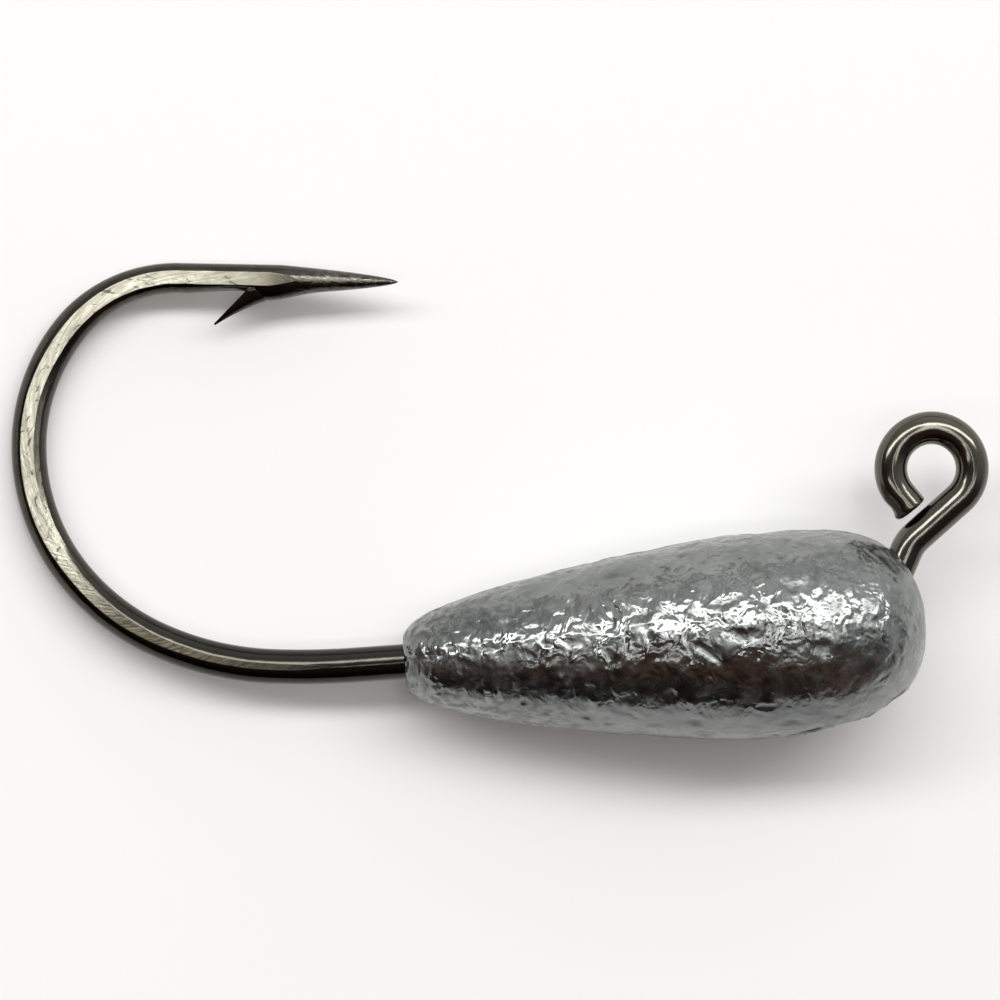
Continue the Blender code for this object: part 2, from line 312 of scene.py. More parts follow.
def add_piece(name, mesh, node, material):
    """Link a mesh made in the jig's frame, as the piece that stands for a CAD node.
    Where the rough skin would reach below the surface it lies on, it is rubbed flat."""
    count = len(mesh.vertices)
    place = np.empty(count * 3, np.float32)
    mesh.vertices.foreach_get("co", place)
    mark_points(mesh, "place", "FLOAT_VECTOR", place / MM)
    mesh.transform(JIG)
    mesh.vertices.foreach_get("co", place)
    place[2::3] = np.maximum(place[2::3], 0.0)
    mesh.vertices.foreach_set("co", place)
    piece = bpy.data.objects.new(name, mesh)
    bpy.context.scene.collection.objects.link(piece)
    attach(piece, "root")
    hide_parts(node)
    mesh.materials.clear()
    mesh.materials.append(material)


def grid_mesh(name, rings, open_end=False):
    """A mesh skinned over rings of points, each an array of (n, 3) in millimetres, with a
    face across the first ring and, unless its end is open, across the last."""
    count = len(rings[0])
    points = np.concatenate(rings) * MM
    faces = []
    for r in range(len(rings) - 1):
        a, b = r * count, (r + 1) * count
        for k in range(count):
            n = (k + 1) % count
            faces.append((a + k, a + n, b + n, b + k))
    faces.append(tuple(range(count)))
    if not open_end:
        faces.append(tuple(reversed(range((len(rings) - 1) * count, len(rings) * count))))
    mesh = bpy.data.meshes.new(name)
    mesh.from_pydata([tuple(p) for p in points], [], faces)
    made = bmesh.new()
    made.from_mesh(mesh)
    bmesh.ops.recalc_face_normals(made, faces=made.faces)
    made.to_mesh(mesh)
    made.free()
    mesh.shade_smooth()
    return mesh


def tool_object(name, mesh):
    """A cutter or joiner that is thrown away once it has been used."""
    made = bpy.data.objects.new(name, mesh)
    bpy.context.scene.collection.objects.link(made)
    return made


def boolean(target_mesh, tool_mesh, operation):
    """The result of one exact Boolean between two meshes, as a new mesh."""
    target = tool_object("target", target_mesh)
    tool = tool_object("tool", tool_mesh)
    step = target.modifiers.new("step", "BOOLEAN")
    step.operation = operation
    step.solver = "EXACT"
    step.object = tool
    depsgraph = bpy.context.evaluated_depsgraph_get()
    result = bpy.data.meshes.new_from_object(target.evaluated_get(depsgraph))
    bpy.data.objects.remove(target, do_unlink=True)
    bpy.data.objects.remove(tool, do_unlink=True)
    return result


# ---------------------------------------------------------------- the wire's centre line
class Walk:
    """A centre line laid down as straights and arcs, kept as (x, y, heading, walked)."""

    def __init__(self, heading):
        self.state = [0.0, 0.0, heading, 0.0]
        self.stations = [tuple(self.state)]

    def straight(self, length, step=BEND_STEP):
        """Go straight on."""
        pieces = max(1, round(length / step))
        for _ in range(pieces):
            x, y, heading, walked = self.state
            ahead = length / pieces
            self.state = [x + ahead * cos(heading), y + ahead * sin(heading), heading,
                          walked + ahead]
            self.stations.append(tuple(self.state))

    def turn(self, radius, degrees, step=BEND_STEP):
        """Follow an arc, to the left for positive degrees."""
        length = radius * radians(abs(degrees))
        pieces = max(2, round(length / step))
        angle = radians(degrees) / pieces
        chord = 2 * radius * sin(abs(angle) / 2)
        for _ in range(pieces):
            x, y, heading, walked = self.state
            half_way = heading + angle / 2
            self.state = [x + chord * cos(half_way), y + chord * sin(half_way),
                          heading + angle, walked + length / pieces]
            self.stations.append(tuple(self.state))


def hook_stations():
    """(x, y, heading, distance from the point) from the hook point to the eye's cut end."""
    rear = Walk(pi)
    rear.straight(REAR_SHANK)
    for radius, degrees in BEND_ARCS:
        rear.turn(radius, -degrees)
    rear.straight(POINT_LENGTH, POINT_STEP)
    front = Walk(0.0)
    nose_tangent = NOSE_BEND_R * tan(radians(NOSE_TURN) / 2)
    kink_tangent = KINK_R * tan(radians(abs(KINK_TURN)) / 2)
    front.straight(NOSE_VERTEX - nose_tangent, HIDDEN_STEP)
    front.turn(NOSE_BEND_R, NOSE_TURN)
    front.straight(LEG_LENGTH - nose_tangent - kink_tangent)
    front.turn(KINK_R, KINK_TURN, KINK_STEP)
    front.straight(LEG_TO_EYE - kink_tangent)
    front.turn(EYE_R, EYE_TURN, EYE_STEP)
    front.straight(EYE_TAIL, EYE_TAIL_STEP)
    to_tail = rear.stations[-1][3]
    stations = [(x, y, h + pi, to_tail - s) for x, y, h, s in reversed(rear.stations)]
    stations += [(x, y, h, to_tail + s) for x, y, h, s in front.stations[1:]]
    return np.array(stations), to_tail


# ---------------------------------------------------------------- the hook
def eye_start(whole):
    """Distance from the point where the shank begins to thin to the eye's wire."""
    return whole - (EYE_TAIL + EYE_R * radians(EYE_TURN) + LEG_TO_EYE + LEG_LENGTH)


def wire_radius(distance, eye_from):
    """Half width of the wire at a distance from the hook point."""
    if distance > eye_from:
        return SHANK_R + (EYE_WIRE_R - SHANK_R) * smooth_step(distance - eye_from)
    if distance > POINT_LENGTH:
        grown = smooth_step((distance - POINT_LENGTH) / SHANK_FADE)
        return NEEDLE_FULL_R + (SHANK_R - NEEDLE_FULL_R) * grown
    return min(NEEDLE_SCALE * max(distance, NEEDLE_START) ** NEEDLE_POWER, NEEDLE_FULL_R)


def barb_relief(distance):
    """What the barb's cut adds to the wire's inner side, or takes from it behind the barb."""
    past = distance - BARB_CUT_END
    if past < 0:
        return SWELL * smooth_step(1 + past / SWELL_LENGTH)
    share = np.clip((past - SWELL_END / 2) / SCOOP_LENGTH, 0.0, 1.0)
    scooped = SCOOP_DEPTH * np.sqrt(smooth_step(SCOOP_STEEPNESS * share)) * (1 - share)
    return SWELL * (1 - smooth_step(past / SWELL_END)) - scooped


def flat_shape(distance, to_tail):
    """The forged flat at a distance from the point: half width, direction round the wire,
    and how far the narrow bevel beside it is cut."""
    rise = np.clip((distance - FLAT_START) / FLAT_RISE, 0.0, 1.0) ** FLAT_RISE_POWER
    fade = smooth_step((to_tail - FLAT_STOP - distance) / FLAT_FADE)
    narrowed = sum(
        loss * smooth_step((distance - start) / length) for start, length, loss in FLAT_NARROWING)
    turned = sum(
        degrees * smooth_step((distance - start) / length) for start, length, degrees in FLAT_TURNS)
    bevel = smooth_step((distance - BEVEL_START) / BEVEL_RISE)
    bevel *= smooth_step((BEVEL_STOP - distance) / BEVEL_FADE)
    direction = radians(90.0 + turned - BEVEL_TURN * bevel)
    return (FLAT_HALF_WIDTH - narrowed) * rise * fade, direction, bevel


def half_section(radius, outer, inner, flat_half, flat_direction, bevel):
    """One half of the wire's section, from its outer to its inner side, for its radius and
    its reach on those two sides: in-plane and sideways places, and how far each is forged."""
    reach = np.arcsin(min(0.95, max(flat_half, 0.004) / max(radius, 0.01)))
    start = flat_direction - reach
    end = flat_direction + reach
    stop = end + BEVEL_SPAN
    crease = min(CREASE_SPAN, reach / 4)
    angles = np.concatenate([
        np.linspace(0.0, start - crease, 12),
        [start],
        np.linspace(start + crease, end - crease, 7),
        [end],
        np.linspace(end + crease, stop - crease, 4),
        [stop],
        np.linspace(stop + crease, pi, 10),
    ])
    scale = np.ones(len(angles))
    on_flat = (angles > start) & (angles < end)
    scale[on_flat] = cos(reach) / np.cos(angles[on_flat] - flat_direction)
    on_bevel = (angles > end) & (angles < stop)
    facet = cos(BEVEL_SPAN / 2) / np.cos(angles[on_bevel] - (end + stop) / 2)
    scale[on_bevel] = 1 + bevel * (facet - 1)
    to_inner = smooth_step((angles - SWELL_SIDE) / SWELL_SIDE_SPAN)
    inner_side = radius + (inner - radius) * to_inner
    in_plane = np.cos(angles) * np.where(np.cos(angles) > 0, outer, inner_side) * scale
    lateral = np.sin(angles) * radius * scale
    forged = np.where((angles >= start) & (angles <= end), 1.0, 0.0)
    forged = np.where(on_bevel, BEVEL_FORGED * bevel, forged)
    return in_plane, lateral, forged


def wire_ring(station, in_plane, lateral):
    """A ring of points round the centre line, from places in the hook's plane and sideways."""
    x, y, heading = station[:3]
    return np.column_stack([
        x + in_plane * sin(heading), y - in_plane * cos(heading), lateral])


def hook_mesh():
    """The wire with its flats, and the barb joined on."""
    stations, to_tail = hook_stations()
    whole = stations[-1][3]
    eye_from = eye_start(whole)
    rings = []
    forged_all = []
    along_all = []
    for station in stations:
        distance = station[3]
        to_end = whole - distance
        from_round = 1 - min(1.0, to_end / END_ROUNDING_LENGTH)
        rounding = END_ROUNDING * (1 - np.sqrt(1 - from_round ** 2))
        radius = wire_radius(distance, eye_from) * (1.0 - rounding)
        burr = sum(
            height * np.exp(-((to_end - place) / size) ** 2) for place, size, height in END_BURR)
        half, direction, bevel = flat_shape(distance, to_tail)
        jitter = FLAT_JITTER * noise.noise(Vector((distance * 1.3, 3.1, 0.0)))
        in_plane, lateral, forged = half_section(
            radius, radius + burr, radius + barb_relief(distance),
            half * (1 + jitter * 3), direction + jitter, bevel)
        in_plane = np.concatenate([in_plane, in_plane[-2:0:-1]])
        lateral = np.concatenate([lateral, -lateral[-2:0:-1]])
        forged = np.concatenate([forged, forged[-2:0:-1]]) * min(1.0, half / FLAT_FULL_FORGE)
        rings.append(wire_ring(station, in_plane, lateral))
        forged_all.append(forged)
        along_all.append(np.column_stack([
            np.full(len(in_plane), distance), in_plane, lateral]))
    mesh = grid_mesh("hook wire", rings)
    mark_points(mesh, "forged", "FLOAT", np.concatenate(forged_all))
    mark_points(mesh, "wire", "FLOAT_VECTOR", np.concatenate(along_all))
    joined = boolean(mesh, barb_mesh(stations), "UNION")
    joined.set_sharp_from_angle(angle=SHARP_EDGE)
    finish_barb(joined, stations[0])
    return joined


def point_frame(tip):
    """Directions along the point, away from its tip, and in towards the shank."""
    back = np.array([cos(tip[2]), sin(tip[2])])
    return back, np.array([-back[1], back[0]])


def finish_barb(mesh, tip):
    """Give the barb the plain wire's finish: the Boolean leaves its marks undefined."""
    count = len(mesh.vertices)
    back, inwards = point_frame(tip)
    points = np.empty(count * 3, np.float32)
    mesh.vertices.foreach_get("co", points)
    reach = points.reshape(-1, 3)[:, :2] / MM - tip[:2]
    along, inside = reach @ back, reach @ inwards
    barb = (along > BARB_BACK[0]) & (along < BARB_BACK[1])
    barb &= (inside > BARB_INWARDS[0]) & (inside < BARB_INWARDS[1])
    wire = np.empty(count * 3, np.float32)
    forged = np.empty(count, np.float32)
    mesh.attributes["wire"].data.foreach_get("vector", wire)
    mesh.attributes["forged"].data.foreach_get("value", forged)
    wire = wire.reshape(-1, 3)
    wire[barb] = np.column_stack([
        along[barb] + BARB_FINISH_SHIFT, inside[barb], np.zeros(barb.sum())])
    forged[barb] = 0.0
    mesh.attributes["wire"].data.foreach_set("vector", wire.ravel())
    mesh.attributes["forged"].data.foreach_set("value", forged)


def bezier(p0, p1, p2, share):
    """A point of a quadratic curve."""
    p0, p1, p2 = np.array(p0), np.array(p1), np.array(p2)
    return (1 - share) ** 2 * p0 + 2 * share * (1 - share) * p1 + share ** 2 * p2


def barb_mesh(stations):
    """The raised sliver of the barb, given back from the point and inwards."""
    tip = stations[0]
    back, inwards = point_frame(tip)
    rings = []
    for share in np.linspace(0.0, 1.0, BARB_RINGS):
        crest = bezier(*BARB_CREST, share)
        cut = bezier(*BARB_CUT, share)
        width = BARB_TAPER * (1 - share) ** BARB_TAPER_POWER + BARB_TIP_HALF_WIDTH
        width = min(BARB_HALF_WIDTH, width)
        ring = []
        for angle in np.linspace(-pi / 2, pi / 2, BARB_SIDES):
            place = cut + (crest - cut) * cos(angle)
            flat = tip[:2] + back * place[0] + inwards * place[1]
            ring.append((flat[0], flat[1], width * sin(angle)))
        rings.append(np.array(ring))
    return grid_mesh("barb", rings)


# ---------------------------------------------------------------- the lead head
def body_radius(x):
    """Radius of the turned body behind the nose."""
    share = np.clip(x / BODY_LENGTH, 0.0, 1.0)
    return BODY_R0 + (HEAD_R - BODY_R0) * np.sqrt(1 - (1 - share) ** BODY_POWER)


def head_outline(power):
    """Points (x, radius) along the head's outline at even spacing, from axis to axis."""
    x_body = BODY_LENGTH * np.linspace(0.0, 1.0, OUTLINE_POINTS) ** 2
    angle = np.linspace(0.0, pi / 2, OUTLINE_POINTS)
    nose_x = NOSE_START + (HEAD_LENGTH - NOSE_START) * np.sin(angle) ** (2 / power)
    nose_r = HEAD_R * np.cos(angle) ** (2 / power)
    keep = body_radius(x_body) > TAIL_R + 0.02
    x_all = np.concatenate([[0.0, 0.0], x_body[keep], nose_x])
    r_all = np.concatenate([[0.0, TAIL_R], body_radius(x_body)[keep], nose_r])
    length = np.concatenate([[0.0], np.cumsum(np.hypot(np.diff(x_all), np.diff(r_all)))])
    even = np.linspace(0.0, length[-1], HEAD_RINGS)
    return np.interp(even, length, x_all), np.interp(even, length, r_all)


def turned_head():
    """Grids of points and outward normals of the smooth head, and the angle of each column
    from the hook's side round towards the viewer's side."""
    turn = 2 * pi * np.arange(HEAD_SIDES) / HEAD_SIDES
    angle = turn - 0.5 * SEAM_CROWDING * np.sin(2 * turn)
    points = np.empty((HEAD_RINGS, HEAD_SIDES, 3))
    normals = np.empty_like(points)
    for k, phi in enumerate(angle):
        power = NOSE_POWER_BELLY + (NOSE_POWER_TOP - NOSE_POWER_BELLY) * (1 + cos(phi)) / 2
        x, r = head_outline(power)
        slope_x, slope_r = np.gradient(x), np.gradient(r)
        size = np.hypot(slope_x, slope_r)
        normal_r = slope_x / size
        points[:, k] = np.column_stack([x, r * cos(phi), r * sin(phi)])
        normals[:, k] = np.column_stack([
            -slope_r / size, normal_r * cos(phi), normal_r * sin(phi)])
    return points, normals, angle


def patch_coordinates(points, turns, place, direction):
    """Distances along and across a mark on the surface, in millimetres."""
    radius = np.hypot(points[..., 1], points[..., 2])
    ahead = points[..., 0] - place[0]
    turned = (turns - radians(place[1]) + pi) % (2 * pi) - pi
    up = -turned * np.maximum(radius, LEAST_TURN_R)
    c, s = cos(radians(direction)), sin(radians(direction))
    return ahead * c + up * s, -ahead * s + up * c


def dent(points, turns, place, size, direction, depth):
    """A hollow with a slight raised rim."""
    along, across = patch_coordinates(points, turns, place, direction)
    q = (along / size[0]) ** 2 + (across / size[1]) ** 2
    hollow = np.exp(-q ** 1.2)
    rim = np.exp(-((np.sqrt(q) - RIM_PLACE) / RIM_WIDTH) ** 2)
    return depth * (RIM_HEIGHT * rim - hollow), hollow


def groove(points, turns, path, width, depth):
    """A thin fold line through a few points, with one raised lip."""
    closest = np.full(points.shape[:2], np.inf)
    side = np.zeros(points.shape[:2])
    for (x0, a0), (x1, a1) in zip(path, path[1:]):
        r_mid = max(LEAST_TURN_R, float(body_radius((x0 + x1) / 2)))
        along, across = patch_coordinates(points, turns, (x0, a0), 0.0)
        end = np.array([x1 - x0, -radians(a1 - a0) * r_mid * 0.85])
        size = np.hypot(*end)
        end /= size
        share = np.clip(along * end[0] + across * end[1], 0.0, size)
        gap = np.hypot(along - share * end[0], across - share * end[1])
        cross = along * end[1] - across * end[0]
        nearer = gap < closest
        side = np.where(nearer, cross, side)
        closest = np.where(nearer, gap, closest)
    lip = (closest - 1.7 * width) / width
    relief = 0.45 * depth * np.exp(-lip ** 2) * (side > 0) - depth * np.exp(-(closest / width) ** 2)
    return relief, np.exp(-(closest / (1.9 * width)) ** 2)


def casting_relief(points, angle):
    """Height of the cast skin above the smooth head, and how much painted shade darkens it in its
    dents, pits and folds.
    """
    flat = points.reshape(-1, 3)
    x = points[..., 0]
    radius = np.hypot(points[..., 1], points[..., 2])
    facing = np.cos(angle)[None, :] * np.ones_like(x)

    def layer(size, seed, stretch=(1.0, 1.0, 1.0)):
        return wobble(flat * np.array(stretch), size, seed, 2).reshape(x.shape)

    # The belly's half is calmer than the hook's side, and the tail smoother than the nose.
    calm = 1.0 - 0.6 * smooth_step((0.05 - facing) / 0.5)
    coarse = smooth_step((x - 2.0) / 10.0)
    relief = BROAD_HEIGHT * layer(BROAD_SIZE, 1)
    relief += calm * (LUMP_HEIGHT + LUMP_GROWTH * coarse) * layer(LUMP_SIZE, 2)
    relief += calm * FINE_HEIGHT * layer(FINE_SIZE, 12)
    ridges = 1 - 2 * np.abs(layer(RIDGE_SIZE, 3, (1.15, 1.0, 1.0)))
    relief += calm * (RIDGE_HEIGHT + RIDGE_GROWTH * coarse) * ridges
    warped = points.copy()
    warped[..., 0] += WARP * layer(WARP_SIZE, 9)
    turns = angle + WARP * layer(WARP_SIZE, 10) / np.maximum(radius, LEAST_TURN_R)
    # Painted shade: the dents, the pits and the folds with their raised lips are darkened.
    hollow_shade = np.zeros(x.shape)
    for place, size, direction, depth in DENTS:
        height, hollow = dent(warped, turns, place, size, direction, depth)
        relief += height
        hollow_shade = np.maximum(hollow_shade, 0.5 * hollow)
    for _ in range(PIT_COUNT):
        place = (RNG.uniform(*PIT_REACH), RNG.uniform(0.0, 360.0))
        size = RNG.uniform(*PIT_SIZES)
        height, hollow = dent(warped, turns, place, (size * RNG.uniform(*PIT_STRETCHES), size),
                              RNG.uniform(*PIT_DIRECTIONS), RNG.uniform(*PIT_DEPTHS))
        relief += height
        hollow_shade = np.maximum(hollow_shade, 0.3 * hollow)
    for path, width, depth in FOLDS:
        height, hollow = groove(warped, turns, path, width, depth)
        relief += height
        hollow_shade = np.maximum(hollow_shade, hollow)
    broken = np.clip(0.6 + 1.2 * layer(1.6, 8, (1.0, 0.2, 0.2)), 0, 1)
    seam = np.exp(-(points[..., 2] / SEAM_WIDTH) ** 2) * broken
    relief += SEAM_HEIGHT * seam * smooth_step(radius / 1.5)
    relief *= smooth_step((radius - 0.75) / 0.6)
    return relief, hollow_shade


def cut_scar(points):
    """Flatten the belly where the gate was snipped off, with a torn skin and ragged edge."""
    x, y = points[..., 0], points[..., 1]
    flat = points.reshape(-1, 3)
    torn = wobble(flat * np.array([0.6, 0.0, 1.6]), 0.55, 5, 3).reshape(x.shape)
    edge = wobble(flat, 0.5, 6, 2).reshape(x.shape)
    plane = -HEAD_R + tan(radians(SCAR_SLOPE)) * (x - SCAR_START)
    steeper = SCAR_BREAK[1] + tan(radians(SCAR_END_SLOPE)) * (x - SCAR_BREAK[0])
    plane = np.maximum(plane, steeper) + SCAR_TORN * torn
    inside = (x > SCAR_START - 0.6) & (x < SCAR_END) & (y < 0)
    depth = np.where(inside, plane - y, -1.0)
    scar = np.clip(depth / SCAR_FULL_DEPTH, 0.0, 1.0)
    points[..., 1] = np.where(depth > 0, y + depth, y)
    burr = np.exp(-((depth + SCAR_BURR_PLACE) / SCAR_BURR_WIDTH) ** 2)
    points[..., 1] -= SCAR_BURR * burr * np.clip(0.5 + 1.5 * edge, 0, 1)
    # The crease along the cut's ragged edge is darkened as painted shade.
    crease = np.exp(-((depth + SCAR_CREASE_PLACE) / SCAR_CREASE_WIDTH) ** 2)
    crease *= np.clip(0.4 + 1.5 * edge, 0, 1)
    return scar, np.where(inside, crease, 0.0)


def wire_tunnel():
    """The hole that the wire fills: its own outline, a hair larger."""
    stations, to_tail = hook_stations()
    eye_from = eye_start(stations[-1][3])
    walked = stations[:, 3] - to_tail
    turn = 2 * pi * np.arange(TUNNEL_SIDES) / TUNNEL_SIDES
    rings = []
    for station in stations[(walked > TUNNEL_SPAN[0]) & (walked < TUNNEL_SPAN[1])]:
        bore = wire_radius(station[3], eye_from) + WIRE_FIT
        rings.append(wire_ring(station, bore * np.cos(turn), bore * np.sin(turn)))
    return grid_mesh("tunnel", rings)


def head_mesh():
    """The cast lead: turned shape, casting relief, gate scar, folds and the wire's tunnel."""
    points, normals, angle = turned_head()
    relief, hollow_shade = casting_relief(points, angle)
    points = points + normals * relief[..., None]
    scar, crease = cut_scar(points)
    hollow_shade = np.maximum(hollow_shade, 0.9 * crease)
    mesh = grid_mesh("lead", list(points[1:-1]))
    mark_points(mesh, "hollow_shade", "FLOAT", hollow_shade[1:-1])
    mark_points(mesh, "scar", "FLOAT", scar[1:-1])
    return boolean(mesh, wire_tunnel(), "DIFFERENCE")


# ---------------------------------------------------------------- materials
class Nodes:
    """Short names for the shader nodes that the finishes use."""

    def __init__(self, name, base, roughness):
        self.material = bpy.data.materials.new(name)
        self.material.use_nodes = True
        self.tree = self.material.node_tree
        self.shader = self.tree.nodes["Principled BSDF"]
        self.shader.inputs["Base Color"].default_value = (*base, 1.0)
        self.shader.inputs["Roughness"].default_value = roughness
        self.shader.inputs["Metallic"].default_value = 1.0

    def link(self, source, target):
        """Join an output to an input, or set a plain value."""
        if isinstance(source, (int, float)):
            target.default_value = source
        else:
            self.tree.links.new(source, target)

    def attribute(self, name, output="Fac"):
        """A value stored on the mesh."""
        node = self.tree.nodes.new("ShaderNodeAttribute")
        node.attribute_name = name
        return node.outputs[output]

    def stretched(self, vector, scale):
        """A vector scaled along each axis."""
        node = self.tree.nodes.new("ShaderNodeVectorMath")
        node.operation = "MULTIPLY"
        node.inputs[1].default_value = scale
        self.link(vector, node.inputs[0])
        return node.outputs["Vector"]

    def turned(self, vector, degrees):
        """A vector turned about its third axis."""
        node = self.tree.nodes.new("ShaderNodeVectorRotate")
        node.rotation_type = "Z_AXIS"
        node.inputs["Angle"].default_value = radians(degrees)
        self.link(vector, node.inputs["Vector"])
        return node.outputs["Vector"]

    def component(self, vector, name):
        """One component of a vector."""
        node = self.tree.nodes.new("ShaderNodeSeparateXYZ")
        self.link(vector, node.inputs["Vector"])
        return node.outputs[name]

    def noise(self, vector, scale, detail=4.0, roughness=0.55, distortion=0.0):
        """Cloudy noise, about 0.3 to 0.7."""
        node = self.tree.nodes.new("ShaderNodeTexNoise")
        node.inputs["Scale"].default_value = scale
        node.inputs["Detail"].default_value = detail
        node.inputs["Roughness"].default_value = roughness
        node.inputs["Distortion"].default_value = distortion
        self.link(vector, node.inputs["Vector"])
        return node.outputs["Fac"]

    def remap(self, value, low, high, to_low=0.0, to_high=1.0):
        """A value carried from one range to another, clamped."""
        node = self.tree.nodes.new("ShaderNodeMapRange")
        node.inputs["From Min"].default_value = low
        node.inputs["From Max"].default_value = high
        node.inputs["To Min"].default_value = to_low
        node.inputs["To Max"].default_value = to_high
        self.link(value, node.inputs["Value"])
        return node.outputs["Result"]

    def math(self, operation, first, second=0.0):
        """One sum on two values."""
        node = self.tree.nodes.new("ShaderNodeMath")
        node.operation = operation
        self.link(first, node.inputs[0])
        self.link(second, node.inputs[1])
        return node.outputs["Value"]

    def times(self, *values):
        """The product of a few values."""
        product = values[0]
        for value in values[1:]:
            product = self.math("MULTIPLY", product, value)
        return product

    def total(self, *values):
        """The sum of a few values."""
        total = values[0]
        for value in values[1:]:
            total = self.math("ADD", total, value)
        return total

    def blend(self, share, first, second):
        """A colour between two, each a colour or an output."""
        node = self.tree.nodes.new("ShaderNodeMix")
        node.data_type = "RGBA"
        self.link(share, node.inputs["Factor"])
        for source, socket in ((first, node.inputs["A"]), (second, node.inputs["B"])):
            if isinstance(source, tuple):
                socket.default_value = (*source, 1.0)
            else:
                self.link(source, socket)
        return node.outputs["Result"]

    def bump(self, height, distance, normal=None):
        """A normal tilted by a height that is distance millimetres tall at 1."""
        node = self.tree.nodes.new("ShaderNodeBump")
        node.inputs["Strength"].default_value = 1.0
        node.inputs["Distance"].default_value = distance * MM
        self.link(height, node.inputs["Height"])
        if normal is not None:
            self.link(normal, node.inputs["Normal"])
        return node.outputs["Normal"]


def lead_material():
    """Dull grey cast lead with a crinkled skin."""
    n = Nodes("cast lead", LEAD_PLAIN, 0.2)
    place = n.attribute("place", "Vector")
    x, y = n.component(place, "X"), n.component(place, "Y")
    hollow_shade = n.attribute("hollow_shade")
    scar = n.attribute("scar")
    patches = n.noise(place, 0.55, 3.0)
    oxide = n.noise(place, 1.9, 5.0, 0.6, 0.6)
    # Dull spots towards the tail, fewer in the bright band along the flank.
    off_band = n.math("ABSOLUTE", n.math("SUBTRACT", y, 0.45))
    dull = n.times(
        n.remap(n.noise(place, 2.6, 4.0, 0.6, 0.4), 0.44, 0.60), n.remap(x, 10.0, 3.0),
        n.remap(y, 2.6, 1.6), n.remap(off_band, 0.3, 0.7, 0.1, 1.0))
    colour = n.blend(n.remap(patches, 0.38, 0.62), LEAD_DARK, LEAD_PALE)
    colour = n.blend(n.remap(oxide, 0.45, 0.72, 0.0, 0.6), colour, LEAD_OXIDE)
    colour = n.blend(n.times(dull, 0.7), colour, LEAD_DULL)
    # Painted shade: darker towards the belly's side.
    colour = n.blend(n.remap(y, -3.6, -2.0, 0.85, 0.0), colour, LEAD_BELLY_SHADE)
    # Painted shade: near black in the dents, pits, folds and the gate's crease.
    colour = n.blend(n.times(hollow_shade, 0.95), colour, LEAD_HOLLOW_SHADE)
    colour = n.blend(n.times(scar, 0.35), colour, LEAD_CUT)
    n.link(colour, n.shader.inputs["Base Color"])
    rough = n.total(
        n.remap(n.noise(place, 1.4, 4.0), 0.35, 0.68, 0.13, 0.33), n.times(hollow_shade, 0.45),
        n.remap(x, 12.5, 17.0, 0.0, 0.07), n.times(scar, 0.15), n.times(dull, 0.12))
    n.link(rough, n.shader.inputs["Roughness"])
    calm = n.remap(y, -2.0, 0.6, 0.4, 1.0)
    crinkle = n.times(
        n.noise(n.stretched(place, (1.35, 1.0, 1.0)), 1.25, 2.0, 0.45, 0.6),
        n.remap(patches, 0.36, 0.60, 0.6, 1.0), calm, n.remap(x, 13.0, 17.0, 1.0, 0.7))
    pebbly = n.times(calm, n.remap(x, 9.0, 15.0, 0.9, 2.3))
    grain = n.times(n.noise(place, 3.2, 1.0, 0.4, 0.1), pebbly)
    normal = n.bump(grain, 0.026, n.bump(crinkle, 0.20))
    n.link(normal, n.shader.inputs["Normal"])
    return n.material


